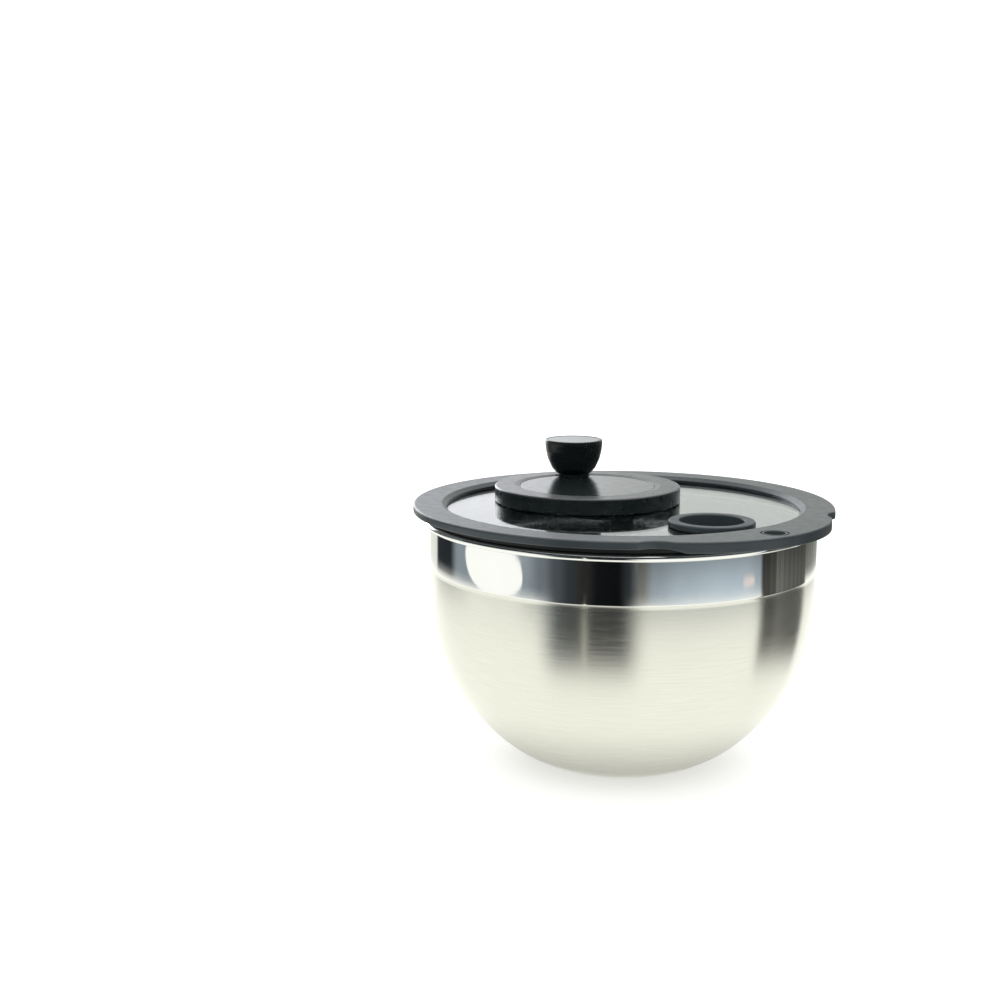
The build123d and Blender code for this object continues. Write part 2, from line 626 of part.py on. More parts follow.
def basket_openings():
    """Every slot, window and notch of the basket, as a cutter."""
    slot = Pos(0, 0, SLOT_Z) * Box(SLOT_HIGH, SLOT_WIDTH, SLOT_HIGH)
    for place in around(SLOT_COLUMNS, BASKET_R, 180.0 / SLOT_COLUMNS):
        yield place * slot
    for row in range(ROWS):
        z = BASKET_SIDE_Z - ROW_TOP_GAP - row * ROW_PITCH
        window = Pos(0, 0, z) * Box(WINDOW_REACH, WINDOW_WIDTH, ROW_HEIGHT)
        for place in around(COLUMNS, BASKET_R - 5.0):
            yield place * window
    for radius, count, wide in FLOOR_RINGS:
        floor_slot = Pos(0, 0, 30.0) * Box(FLOOR_SLOT, wide, 50.0)
        for place in around(count, radius):
            yield place * floor_slot
    length = LUG_R - LEDGE_R + 1.6
    notch = Pos(0, 0, BASKET_TOP) * Box(length, LUG_WIDTH + 2 * NOTCH_GAP, 2 * NOTCH_DEPTH)
    for place in around(LUGS, (LEDGE_R + LUG_R) / 2):
        yield place * notch


def make_basket():
    basket = basket_shell() + disc(PIVOT_BOSS_R, PIVOT_LOW, PIVOT_TOP + 2.0)
    basket -= list(basket_openings())
    return basket - disc(BUSH_OUT, PIVOT_LOW - OVER, PIVOT_TOP)


def make_pivot_bush():
    return tube(BUSH_OUT, PIN_R + FIT, PIVOT_LOW, PIVOT_TOP)


def make_foot():
    foot = disc(FOOT_R, FOOT_LOW, FOOT_LOW + FOOT_THICK)
    foot = fillet(foot.edges().sort_by(Axis.Z)[-1], FOOT_ROUND)
    foot += disc(FOOT_POST_R, FOOT_LOW + FOOT_THICK, FOOT_POST_TOP)
    return foot - disc(PIN_R, FOOT_LOW + PIVOT_SEAT, FOOT_POST_TOP + OVER)


def make_pivot_pin():
    pin = disc(PIN_R, FOOT_LOW + PIVOT_SEAT, PIVOT_TOP - PIVOT_ROOM)
    return chamfer(pin.edges().sort_by(Axis.Z)[-1], PIVOT_CHAMFER)


def make_pad():
    pad = disc(PAD_R, SHEET, SHEET + PAD_THICK)
    return pad - tube(PAD_R - PAD_GROOVE_OUT, PAD_R - PAD_GROOVE_IN, SHEET - OVER, SHEET + PAD_GROOVE_DEPTH)


# ---- write every piece -------------------------------------------------------------------------------
os.makedirs("parts", exist_ok=True)
save("bowl", make_bowl())
save("glass_plate", make_glass())
save("lid_ring", make_ring())
save("thumb_well", make_well())
save("well_gasket", make_well_gasket())
save("well_lock_ring", make_well_ring())
save("drive_base", make_drive_base())
save("upper_glass_gasket", tube(GASKET_R, CLAMP_HOLE_R, GLASS_TOP, BASE_LOW, CLAMP_X))
save("lower_glass_gasket", tube(GASKET_R, CLAMP_HOLE_R, CLAMP_TOP, GLASS_LOW, CLAMP_X))
save("clamp_plate", make_clamp_plate())
save("clamp_screws", make_clamp_screws())
save("shaft_bush", make_shaft_bush())
save("post_washer", make_post_washer())
save("post_screw", make_post_screw())
save("crank_drum", make_drum())
save("drum_cover", make_cover())
save("ring_gear", make_ring_gear())
save("knob_pin", make_knob_pin())
save("knob_screw", make_knob_screw())
save("knob_body", make_knob())
save("knob_bush", make_knob_bush())
save("knob_cap", make_knob_cap())
save("pinion", make_pinion())
save("drive_shaft", make_shaft())
save("driver_disc", make_disc())
save("driver_hub", make_hub())
save("hub_screw", make_hub_screw())
save("basket", make_basket())
save("pivot_bush", make_pivot_bush())
save("basket_foot", make_foot())
save("pivot_pin", make_pivot_pin())
save("foot_pad", make_pad())
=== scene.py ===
from math import asin, atan2, cos, degrees, hypot, pi, radians, sin, sqrt, tan

import bmesh
import bpy
from mathutils import Matrix, Vector


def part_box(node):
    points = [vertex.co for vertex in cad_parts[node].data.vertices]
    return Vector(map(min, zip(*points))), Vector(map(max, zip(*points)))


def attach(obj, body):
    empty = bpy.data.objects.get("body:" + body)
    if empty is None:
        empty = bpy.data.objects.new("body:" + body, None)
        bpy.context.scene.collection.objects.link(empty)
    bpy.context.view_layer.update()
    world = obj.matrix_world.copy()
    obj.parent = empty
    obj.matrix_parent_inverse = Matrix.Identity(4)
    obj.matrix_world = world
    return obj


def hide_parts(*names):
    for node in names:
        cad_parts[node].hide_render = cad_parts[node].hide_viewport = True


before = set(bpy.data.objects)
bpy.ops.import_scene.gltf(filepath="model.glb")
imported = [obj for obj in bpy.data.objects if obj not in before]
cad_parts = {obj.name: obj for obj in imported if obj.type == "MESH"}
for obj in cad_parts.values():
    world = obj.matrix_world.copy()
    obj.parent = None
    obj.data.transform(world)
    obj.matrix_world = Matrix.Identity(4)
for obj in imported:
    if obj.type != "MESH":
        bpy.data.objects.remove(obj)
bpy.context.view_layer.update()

MM = 0.001

# ---- places and sizes, from the frame ------------------------------------------------------------
bowl_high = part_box("bowl")[1]
glass_low, glass_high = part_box("glass_plate")
ring_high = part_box("lid_ring")[1]
well_low, well_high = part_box("thumb_well")
drum_low, drum_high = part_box("crank_drum")
cover_low, cover_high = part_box("drum_cover")
knob_low, knob_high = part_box("knob_body")
cap_low, cap_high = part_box("knob_cap")

RIM_TOP = bowl_high[2]
BEAD_R = 2.3 * MM
SHEET = 0.9 * MM
BAND_R = bowl_high[1] - 2 * BEAD_R + SHEET         # the rolled rim stands out of the band
BODY_R = BAND_R - 0.5 * MM
FLOOR_R = 46.0 * MM
STEP_Z = 124.0 * MM
ROUND_R = 1.38                   # how the belly rounds in: exponent of the radius
ROUND_Z = 0.83                   # and exponent of the height
SHARP = radians(40)              # edges sharper than this are shaded as edges

GLASS_TOP = glass_high[2]
GLASS_LOW = glass_low[2]
GLASS_R = glass_high[1]
RING_TOP = ring_high[2]
RING_R = ring_high[1]
TAB_TIP = ring_high[0]
TAB_ROUND = 92.0 * MM
DIP_ANGLE = radians(33.5)
DIP_R = 14.0 * MM
DIP_DEPTH = 3.2 * MM
FLANGE = 4.5 * MM
TAB_THICK = 6.4 * MM
HANG_X = 129.0 * MM
HANG_R = 6.0 * MM
WELL_X = (well_low[0] + well_high[0]) / 2
CRANK_X = (cover_low[0] + cover_high[0]) / 2
KNOB_X = (knob_low[0] + knob_high[0]) / 2
KNOB_Y = (knob_low[1] + knob_high[1]) / 2

DRUM_TOP = 169.5 * MM
GEAR_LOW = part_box("ring_gear")[0][2]
COVER_R = 43.0 * MM
BEVEL_R = 46.5 * MM

CAMERA_TURN = radians(48.5)      # from looking along +Y, towards +X
CAMERA_RISE = radians(13.35)
CAMERA_FAR = 1.0
CAMERA_LENS = 56.75              # millimetres, on a sensor 36 mm wide
CAMERA_ROLL = radians(1.17)
TARGET_Z = 98.1 * MM
CAMERA_YAW = radians(-4.447)     # the camera looks a little to the left of the bowl and above it
CAMERA_PITCH = radians(3.645)


# ---- mesh building -------------------------------------------------------------------------------
def new_piece(name, verts, faces, materials, indices=None):
    mesh = bpy.data.meshes.new(name)
    mesh.from_pydata(verts, [], faces)
    for material in materials:
        mesh.materials.append(material)
    if indices:
        for face, index in zip(mesh.polygons, indices):
            face.material_index = index
    for face in mesh.polygons:
        face.use_smooth = True
    mesh.validate()
    mesh.update()
    mesh.set_sharp_from_angle(angle=SHARP)
    piece = bpy.data.objects.new(name, mesh)
    bpy.context.scene.collection.objects.link(piece)
    return piece


def softened(corners, steps=6, hold=0.00025):
    """An outline from (radius, height, rounding) corners, each rounded by an arc.

    Every rounded corner gives the same number of points, so that outlines of one kind match.
    """
    points = []
    for k, (r, z, soft) in enumerate(corners):
        here = Vector((r, z))
        before = Vector(corners[k - 1][:2])
        after = Vector(corners[(k + 1) % len(corners)][:2])
        back, ahead = before - here, after - here
        if soft <= 0 or back.length < 1e-7 or ahead.length < 1e-7:
            points.append(here)
            continue
        half = back.angle(ahead) / 2
        cut = min(soft / tan(half), 0.45 * back.length, 0.45 * ahead.length)
        back.normalize()
        ahead.normalize()
        if half > radians(88):
            for j in range(steps + 3):
                share = j / (steps + 2)
                points.append(here + (back * (1 - share) + ahead * share) * 0.02 * cut)
            continue
        soft = cut * tan(half)
        centre = here + (back + ahead).normalized() * (soft / sin(half))
        first, last = here + back * cut, here + ahead * cut
        a0 = atan2(first.y - centre.y, first.x - centre.x)
        turn = atan2(last.y - centre.y, last.x - centre.x) - a0
        turn = (turn + pi) % (2 * pi) - pi
        points.append(first + back * min(hold, 0.3 * (before - first).length))
        for j in range(steps + 1):
            a = a0 + turn * j / steps
            points.append(centre + soft * Vector((cos(a), sin(a))))
        points.append(last + ahead * min(hold, 0.3 * (after - last).length))
    return points


def turned(name, points, materials, centre=(0.0, 0.0), closed=True, segments=256, pick=None):
    """A piece turned about a vertical axis from points (radius, height)."""
    verts, faces, indices, rings = [], [], [], []
    for r, z in points:
        if r < 1e-7:
            rings.append([len(verts)] * segments)
            verts.append((centre[0], centre[1], z))
            continue
        rings.append(list(range(len(verts), len(verts) + segments)))
        for j in range(segments):
            a = 2 * pi * j / segments
            verts.append((centre[0] + r * cos(a), centre[1] + r * sin(a), z))
    last = len(points) if closed else len(points) - 1
    for k in range(last):
        low, high = rings[k], rings[(k + 1) % len(points)]
        if low[0] == low[1] and high[0] == high[1]:
            continue
        index = pick(points[k], points[(k + 1) % len(points)]) if pick else 0
        for j in range(segments):
            i = (j + 1) % segments
            loop = [low[j], low[i], high[i], high[j]]
            face = [v for n, v in enumerate(loop) if v != loop[n - 1]]
            faces.append(face)
            indices.append(index)
    piece = new_piece(name, verts, faces, materials, indices)
    outward(piece)
    return piece


def outward(piece):
    """Turns every face of a piece outwards."""
    mesh = bmesh.new()
    mesh.from_mesh(piece.data)
    bmesh.ops.recalc_face_normals(mesh, faces=mesh.faces)
    mesh.to_mesh(piece.data)
    mesh.free()


def place(piece, body, slot, *nodes):
    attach(piece, body)
    if nodes:
        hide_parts(*nodes)
    return piece


# ---- materials -----------------------------------------------------------------------------------
class Nodes:
    """Short names for building a material's nodes."""

    def __init__(self, name):
        self.material = bpy.data.materials.new(name)
        self.material.use_nodes = True
        self.tree = self.material.node_tree
        self.shader = self.tree.nodes["Principled BSDF"]
        self.output = self.tree.nodes["Material Output"]
        self.place = self.node("ShaderNodeTexCoord").outputs["Object"]

    def node(self, kind, **values):
        made = self.tree.nodes.new(kind)
        for key, value in values.items():
            setattr(made, key, value)
        return made

    def link(self, source, target):
        self.tree.links.new(source, target)

    def set(self, **values):
        for key, value in values.items():
            self.shader.inputs[key.replace("_", " ")].default_value = value

    def math(self, kind, a, b=None, c=None):
        made = self.node("ShaderNodeMath", operation=kind)
        for socket, value in zip(made.inputs, (a, b, c)):
            if value is None:
                continue
            if isinstance(value, (int, float)):
                socket.default_value = value
            else:
                self.link(value, socket)
        return made.outputs[0]

    def noise(self, vector, scale, detail=3.0, rough=0.5):
        made = self.node("ShaderNodeTexNoise")
        made.inputs["Scale"].default_value = scale
        made.inputs["Detail"].default_value = detail
        made.inputs["Roughness"].default_value = rough
        self.link(vector, made.inputs["Vector"])
        return made.outputs["Fac"]

    def spread(self, value, low, high, low_out, high_out):
        made = self.node("ShaderNodeMapRange")
        limits = {"From Min": low, "From Max": high, "To Min": low_out, "To Max": high_out}
        for name, number in limits.items():
            made.inputs[name].default_value = number
        self.link(value, made.inputs["Value"])
        return made.outputs["Result"]

    def ramp(self, value, dark, light):
        made = self.node("ShaderNodeMix", data_type="RGBA")
        made.inputs["A"].default_value = (*dark, 1)
        made.inputs["B"].default_value = (*light, 1)
        self.link(value, made.inputs["Factor"])
        return made.outputs["Result"]

    def bump(self, height, strength, distance, normal=None):
        made = self.node("ShaderNodeBump")
        made.inputs["Strength"].default_value = strength
        made.inputs["Distance"].default_value = distance
        self.link(height, made.inputs["Height"])
        if normal is not None:
            self.link(normal, made.inputs["Normal"])
        return made.outputs["Normal"]

    def polar(self, around, outwards, upwards, x=0.0, y=0.0):
        """Object coordinates as (angle, radius, height), each stretched by its own factor."""
        split = self.node("ShaderNodeSeparateXYZ")
        self.link(self.place, split.inputs[0])
        px = self.math("SUBTRACT", split.outputs[0], x)
        py = self.math("SUBTRACT", split.outputs[1], y)
        angle = self.math("ARCTAN2", py, px)
        square = self.math("ADD", self.math("MULTIPLY", px, px), self.math("MULTIPLY", py, py))
        radius = self.math("SQRT", square)
        ring = self.node("ShaderNodeCombineXYZ")
        turn_x = self.math("MULTIPLY", self.math("COSINE", angle), around)
        turn_y = self.math("MULTIPLY", self.math("SINE", angle), around)
        out = self.math("MULTIPLY", radius, outwards)
        depth = self.math("ADD", out, self.math("MULTIPLY", split.outputs[2], upwards))
        for socket, value in zip(ring.inputs, (turn_x, turn_y, depth)):
            self.link(value, socket)
        return ring.outputs[0]


def moulded(name, dark, light, roughness, grain=0.00003, spec=0.5):
    """Moulded plastic or rubber: a fine grain, faint clouding and a few handling marks."""
    m = Nodes(name)
    cloud = m.noise(m.place, 35.0, 4.0)
    m.link(m.ramp(m.spread(cloud, 0.35, 0.65, 0.0, 1.0), dark, light), m.shader.inputs["Base Color"])
    marks = m.noise(m.place, 160.0, 6.0, 0.7)
    m.link(m.spread(marks, 0.3, 0.7, roughness - 0.05, roughness + 0.06), m.shader.inputs["Roughness"])
    fine = m.noise(m.place, 2600.0, 2.0)
    m.link(m.bump(fine, 0.3, grain), m.shader.inputs["Normal"])
    m.set(Specular_IOR_Level=spec)
    return m.material


def brushed_bowl():
    """Belly: spun steel with fine circular brush lines, which spread what it mirrors up and down."""
    m = Nodes("bowl_brushed")
    fine = m.noise(m.polar(2.0, 6500.0, 6500.0), 1.0, 3.0, 0.65)
    long = m.noise(m.polar(5.0, 1500.0, 1500.0), 1.0, 5.0, 0.65)
    soft = m.noise(m.place, 14.0, 3.0)
    colour = m.ramp(m.spread(long, 0.3, 0.7, 0.0, 1.0), (0.70, 0.70, 0.635), (0.78, 0.78, 0.715))
    m.link(colour, m.shader.inputs["Base Color"])
    rough = m.math("ADD", m.spread(long, 0.3, 0.7, 0.20, 0.27), m.spread(soft, 0.3, 0.7, -0.01, 0.02))
    m.link(rough, m.shader.inputs["Roughness"])
    normal = m.bump(fine, 0.15, 0.00002)
    m.link(m.bump(long, 0.32, 0.00005, normal), m.shader.inputs["Normal"])
    m.set(Metallic=1.0, Anisotropic=0.8, Anisotropic_Rotation=0.25)
    tangent = m.node("ShaderNodeTangent", direction_type="RADIAL", axis="Z")
    m.link(tangent.outputs[0], m.shader.inputs["Tangent"])
    return m.material


def polished_bowl():
    """Band and rim: mirror-polished, with a trace of the polishing wheel and fine wipe marks."""
    m = Nodes("bowl_polished")
    trace = m.noise(m.polar(2.5, 2200.0, 2200.0), 1.0, 4.0)
    wipe = m.noise(m.place, 60.0, 5.0, 0.65)
    m.link(m.ramp(wipe, (0.76, 0.77, 0.76), (0.84, 0.84, 0.82)), m.shader.inputs["Base Color"])
    m.link(m.spread(wipe, 0.35, 0.7, 0.03, 0.08), m.shader.inputs["Roughness"])
    m.link(m.bump(trace, 0.10, 0.00001), m.shader.inputs["Normal"])
    m.set(Metallic=1.0)
    return m.material


def inside_bowl():
    """Inside of the bowl: spun steel, a little duller than the belly."""
    m = Nodes("bowl_inside")
    fine = m.noise(m.polar(0.8, 3200.0, 3200.0), 1.0, 3.0)
    m.link(m.ramp(fine, (0.62, 0.62, 0.61), (0.72, 0.72, 0.71)), m.shader.inputs["Base Color"])
    m.link(m.spread(fine, 0.3, 0.7, 0.22, 0.32), m.shader.inputs["Roughness"])
    m.link(m.bump(fine, 0.2, 0.00003), m.shader.inputs["Normal"])
    m.set(Metallic=1.0)
    return m.material


def spun_disc(name, x, y, dark, light, rough):
    """A small spun steel face with rings about its own centre."""
    m = Nodes(name)
    rings = m.noise(m.polar(0.5, 9000.0, 3000.0, x, y), 1.0, 2.0)
    m.link(m.ramp(rings, dark, light), m.shader.inputs["Base Color"])
    m.link(m.spread(rings, 0.3, 0.7, rough - 0.05, rough + 0.07), m.shader.inputs["Roughness"])
    m.link(m.bump(rings, 0.3, 0.00002), m.shader.inputs["Normal"])
    m.set(Metallic=1.0)
    return m.material


def plain_metal(name, dark, light, rough):
    """Screws, pins and bushes: plain metal with fine scratches."""
    m = Nodes(name)
    scratch = m.noise(m.place, 900.0, 4.0, 0.7)
    m.link(m.ramp(scratch, dark, light), m.shader.inputs["Base Color"])
    m.link(m.spread(scratch, 0.3, 0.7, rough - 0.06, rough + 0.08), m.shader.inputs["Roughness"])
    m.link(m.bump(scratch, 0.2, 0.00002), m.shader.inputs["Normal"])
    m.set(Metallic=1.0)
    return m.material


def clear(name, tint, rough_low, rough_high, ior=1.5):
    """Glass or clear plastic that lets lamps through, with faint smears."""
    m = Nodes(name)
    smear = m.noise(m.place, 22.0, 5.0, 0.6)
    m.link(m.spread(smear, 0.4, 0.75, rough_low, rough_high), m.shader.inputs["Roughness"])
    m.shader.inputs["Base Color"].default_value = (*tint, 1)
    m.set(Transmission_Weight=1.0, IOR=ior)
    shadow = m.node("ShaderNodeLightPath").outputs["Is Shadow Ray"]
    through = m.node("ShaderNodeBsdfTransparent")
    through.inputs[0].default_value = (*[0.5 + 0.45 * c for c in tint], 1)
    mix = m.node("ShaderNodeMixShader")
    m.link(shadow, mix.inputs[0])
    m.link(m.shader.outputs[0], mix.inputs[1])
    m.link(through.outputs[0], mix.inputs[2])
    m.link(mix.outputs[0], m.output.inputs["Surface"])
    return m.material


RUBBER = moulded("ring_rubber", (0.022, 0.030, 0.034), (0.030, 0.039, 0.043), 0.37, grain=0.00002)
# Painted shade: a near-black rubber for the ring's underside below the flange, standing in for the shade
# that falls under the flange
SHADED_UNDERSIDE = moulded("seat_rubber_painted_shade", (0.007, 0.009, 0.010), (0.010, 0.012, 0.013), 0.5, spec=0.25)
SOFT_RUBBER = moulded("gasket_rubber", (0.06, 0.06, 0.06), (0.09, 0.09, 0.09), 0.6)
SATIN = moulded("satin_black", (0.005, 0.009, 0.010), (0.008, 0.013, 0.014), 0.29, grain=0.000005)
CUP = moulded("cup_black", (0.034, 0.044, 0.048), (0.044, 0.055, 0.060), 0.42, grain=0.00001, spec=0.22)
KNOB = moulded("knob_black", (0.0015, 0.0040, 0.0050), (0.0025, 0.0055, 0.0065), 0.28, grain=0.000004)
COVER = moulded("cover_satin", (0.007, 0.011, 0.012), (0.010, 0.014, 0.015), 0.17, grain=0.000006)
INNER = moulded("inner_black", (0.018, 0.020, 0.022), (0.028, 0.030, 0.032), 0.45)
BASKET = moulded("basket_black", (0.014, 0.016, 0.018), (0.024, 0.026, 0.028), 0.40)
ACETAL = moulded("gear_acetal", (0.72, 0.71, 0.65), (0.80, 0.79, 0.73), 0.35)
GLASS = clear("lid_glass", (0.93, 0.97, 0.955), 0.0, 0.02)
CLEAR = clear("driver_clear", (0.96, 0.975, 0.975), 0.02, 0.08, 1.49)
BRASS = plain_metal("brass", (0.70, 0.52, 0.26), (0.80, 0.62, 0.34), 0.25)
FASTENER = plain_metal("fastener_steel", (0.56, 0.56, 0.55), (0.66, 0.66, 0.64), 0.28)
GROUND = plain_metal("ground_steel", (0.66, 0.66, 0.66), (0.74, 0.74, 0.74), 0.16)
CAP = spun_disc("cap_steel", KNOB_X, KNOB_Y, (0.235, 0.245, 0.245), (0.30, 0.31, 0.31), 0.32)

CARRIED = {
    "well_gasket": SOFT_RUBBER, "upper_glass_gasket": SOFT_RUBBER, "lower_glass_gasket": SOFT_RUBBER,
    "foot_pad": RUBBER, "well_lock_ring": INNER, "drive_base": INNER, "clamp_plate": INNER,
    "driver_hub": INNER, "basket": BASKET, "basket_foot": BASKET, "driver_disc": CLEAR,
    "ring_gear": ACETAL, "pinion": ACETAL, "shaft_bush": BRASS, "knob_bush": BRASS, "pivot_bush": BRASS,
    "clamp_screws": FASTENER, "post_washer": FASTENER, "post_screw": FASTENER, "knob_screw": FASTENER,
    "hub_screw": FASTENER, "knob_pin": GROUND, "drive_shaft": GROUND, "pivot_pin": GROUND,
}


def dress(node, material):
    """Gives a piece of the frame, kept as it is, its material."""
    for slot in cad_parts[node].material_slots:
        slot.link = "OBJECT"
        slot.material = material


for node, material in CARRIED.items():
    dress(node, material)


# ---- bowl ----------------------------------------------------------------------------------------
def belly(inset, steps=72):
    """The rounded wall from the step down to the floor, moved inwards by inset."""
    def spot(a):
        r = FLOOR_R + (BODY_R - FLOOR_R) * max(cos(a), 0.0) ** ROUND_R
        return r, STEP_Z - STEP_Z * sin(a) ** ROUND_Z
    points = []
    for k in range(steps + 1):
        a = 0.5 * pi * (k / steps) ** 1.25
        near, far = spot(max(a - 1e-4, 1e-6)), spot(min(a + 1e-4, pi / 2 - 1e-6))
        dr, dz = far[0] - near[0], far[1] - near[1]
        size = hypot(dr, dz)
        r, z = spot(a)
        points.append((r + inset * dz / size, z - inset * dr / size))
    points[0] = (BODY_R - inset, STEP_Z)
    points[-1] = (FLOOR_R, inset)
    return points


def make_bowl():
    """The bowl turned from one outline: floor, belly, step, band, rolled rim, and back down inside."""
    wall = BAND_R - SHEET
    bead_x, bead_z = wall + BEAD_R, RIM_TOP - BEAD_R
    start = asin((bead_x - BAND_R) / BEAD_R)
    bead = []
    for k in range(25):
        a = -pi / 2 - start + (3 * pi / 2 + start) * k / 24
        bead.append((bead_x + BEAD_R * cos(a), bead_z + BEAD_R * sin(a)))
    step = [
        (BODY_R, STEP_Z), (BODY_R + 0.10 * MM, STEP_Z + 0.16 * MM), (BAND_R - 0.10 * MM, STEP_Z + 0.34 * MM),
        (BAND_R, STEP_Z + 0.5 * MM), (BAND_R, STEP_Z + 1.0 * MM),
    ]
    points = [(0, 0), (FLOOR_R - 1.0 * MM, 0)] + belly(0.0)[::-1][:-1] + step
    points += [(BAND_R, bead_z - BEAD_R - 0.5 * MM)] + bead
    points += [(wall, bead_z - 2 * MM), (wall, STEP_Z + 0.5 * MM)] + belly(SHEET) + [(0, SHEET)]
    brushed = len(belly(0.0)) + 1

    outside = {(round(a[0], 7), round(a[1], 7)) for a in points[:brushed]}

    def is_outside(here):
        return (round(here[0], 7), round(here[1], 7)) in outside

    def pick(here, there):
        middle_z = (here[1] + there[1]) / 2
        on_belly = middle_z < STEP_Z and min(here[0], there[0]) < BODY_R + 1e-6
        if on_belly:
            return 0 if is_outside(here) else 2
        return 1 if (here[0] + there[0]) / 2 > wall + 0.05 * MM or middle_z > bead_z else 2

    steels = [brushed_bowl(), polished_bowl(), inside_bowl()]
    bowl = turned("bowl_steel", points, steels, closed=False, segments=384, pick=pick)
    return place(bowl, "bowl", "brushed_bowl_steel", "bowl")


# ---- lid ring ------------------------------------------------------------------------------------
def soft_max(a, b, soft):
    """The larger of two lengths, with a rounded change from one to the other."""
    return (a + b + sqrt((a - b) ** 2 + soft * soft)) / 2


def flange_radius(angle):
    """Outline of the ring's flange: round, with the tab and a dip on each side of it."""
    centre = TAB_TIP - TAB_ROUND
    a = atan2(sin(angle), cos(angle))
    r = RING_R
    if abs(a) < DIP_ANGLE:
        inside = max(TAB_ROUND ** 2 - (centre * sin(a)) ** 2, 0.0)
        r = soft_max(RING_R, centre * cos(a) + sqrt(inside), 0.4 * MM)
    far = RING_R + DIP_R - DIP_DEPTH
    for middle in (-DIP_ANGLE, DIP_ANGLE):
        off = a - middle
        reach = DIP_R ** 2 - (far * sin(off)) ** 2
        if reach > 0 and abs(off) < 0.5:
            r = -soft_max(-r, -(far * cos(off) - sqrt(reach)), 0.5 * MM)
    return min(r, TAB_TIP)


def make_ring():
    """The rubber ring: flange and tab on top, the groove for the glass, the seat and the sealing lip."""
    seat = RIM_TOP + 0.2 * MM
    wrap = 152.8 * MM                # underside of the edge that wraps under the glass
    window, bevel = 109.5 * MM, 112.5 * MM
    inner, core = 111.5 * MM, 118.4 * MM
    seat_r, skirt = 121.6 * MM, 122.0 * MM
    lip_top, lip_low = 149.4 * MM, 148.3 * MM
    tab_end, tab_blend = radians(29.5), radians(4.0)
    segments = 720
    verts, faces, indices = [], [], []

    def section(angle):
        edge = flange_radius(angle)
        a = abs(atan2(sin(angle), cos(angle)))
        mix = min(max((tab_end - a) / tab_blend, 0.0), 1.0)
        mix = mix * mix * (3 - 2 * mix)
        thick = FLANGE + (TAB_THICK - FLANGE) * mix
        low = RING_TOP - thick
        corners = [
            (window, GLASS_TOP, 0.15), (window, GLASS_TOP + 1.6 * MM, 0.6), (bevel, RING_TOP, 0.8),
            (edge, RING_TOP, 1.3), (edge, low, 0.5), (RING_R - 5.0 * MM, low, 0.3),
            (RING_R - 5.2 * MM, RING_TOP - FLANGE, 0.3), (skirt, RING_TOP - FLANGE, 0.3),
            (seat_r, seat, 0.4), (core, seat, 0.2), (core, lip_top, 0.3),
            (117.6 * MM, lip_low, 0.3), (116.6 * MM, lip_low, 0.3), (116.0 * MM, lip_top, 0.3),
            (115.2 * MM, wrap, 0.2), (inner, wrap + 0.2 * MM, 0.3), (inner, GLASS_LOW, 0.1),
            (GLASS_R, GLASS_LOW, 0.1), (GLASS_R, GLASS_TOP, 0.1),
        ]
        return softened([(r, z, soft * MM) for r, z, soft in corners], steps=5)

    for j in range(segments):
        angle = 2 * pi * j / segments
        outline = section(angle)
        verts += [(r * cos(angle), r * sin(angle), z) for r, z in outline]
    count = len(outline)
    for j in range(segments):
        i = (j + 1) % segments
        for k in range(count):
            n = (k + 1) % count
            faces.append((j * count + k, i * count + k, i * count + n, j * count + n))
            r, z = outline[k]
            # faces below the flange and inside 127 mm get the near-black rubber: painted shade under the
            # flange
            indices.append(1 if z < RING_TOP - FLANGE + 0.1 * MM and r < 127.0 * MM else 0)
    ring = new_piece("lid_ring_rubber", verts, faces, [RUBBER, SHADED_UNDERSIDE], indices)
    outward(ring)
    cut_eyelet(ring)
    return place(ring, "lid", "lid_rubber", "lid_ring")


def cut_eyelet(ring):
    """Cuts the hanging hole and the fine groove around it."""
    above, below = RING_TOP + 1 * MM, RING_TOP - 12 * MM
    hole = [
        (0, below), (HANG_R, below), (HANG_R, RING_TOP - 0.7 * MM), (HANG_R + 0.7 * MM, above), (0, above),
    ]
    inner, outer, floor = HANG_R + 1.3 * MM, HANG_R + 2.3 * MM, RING_TOP - 0.6 * MM
    groove = [(inner, above), (inner, floor), (outer, floor), (outer, above)]
    for number, (outline, closed) in enumerate(((hole, False), (groove, True))):
        cutter = turned(f"cutter_{number}", outline, [RUBBER], (HANG_X, 0.0), closed, 72)
        cut = ring.modifiers.new("cut", "BOOLEAN")
        cut.operation = "DIFFERENCE"
        cut.solver = "EXACT"
        cut.object = cutter
        bpy.context.view_layer.update()
        shape = bpy.data.meshes.new_from_object(ring.evaluated_get(bpy.context.evaluated_depsgraph_get()))
        ring.modifiers.clear()
        ring.data = shape
        bpy.data.objects.remove(cutter)
    for face in ring.data.polygons:
        face.use_smooth = True
    ring.data.set_sharp_from_angle(angle=SHARP)


# ---- glass, well ---------------------------------------------------------------------------------
def make_well():
    """The thumb well: a closed cup with a wide flange on the glass."""
    wall, flange = 20.8 * MM, 25.5 * MM
    inside = 19.0 * MM
    low, top = well_low[2], well_high[2]
    floor = low + 1.8 * MM
    under = GLASS_TOP + 0.4 * MM
    corners = [
        (0, low, 0), (wall, low, 2.5), (wall, under, 0.1), (flange, under, 0.3), (flange, top, 1.2),
        (inside, top, 1.0), (inside, floor, 4.5), (0, floor, 0),
    ]
    points = softened([(r, z, soft * MM) for r, z, soft in corners], steps=8)
    well = turned("thumb_well_cup", points, [CUP], (WELL_X, 0.0), closed=False, segments=160)
    return place(well, "lid", "black_satin_plastic", "thumb_well")


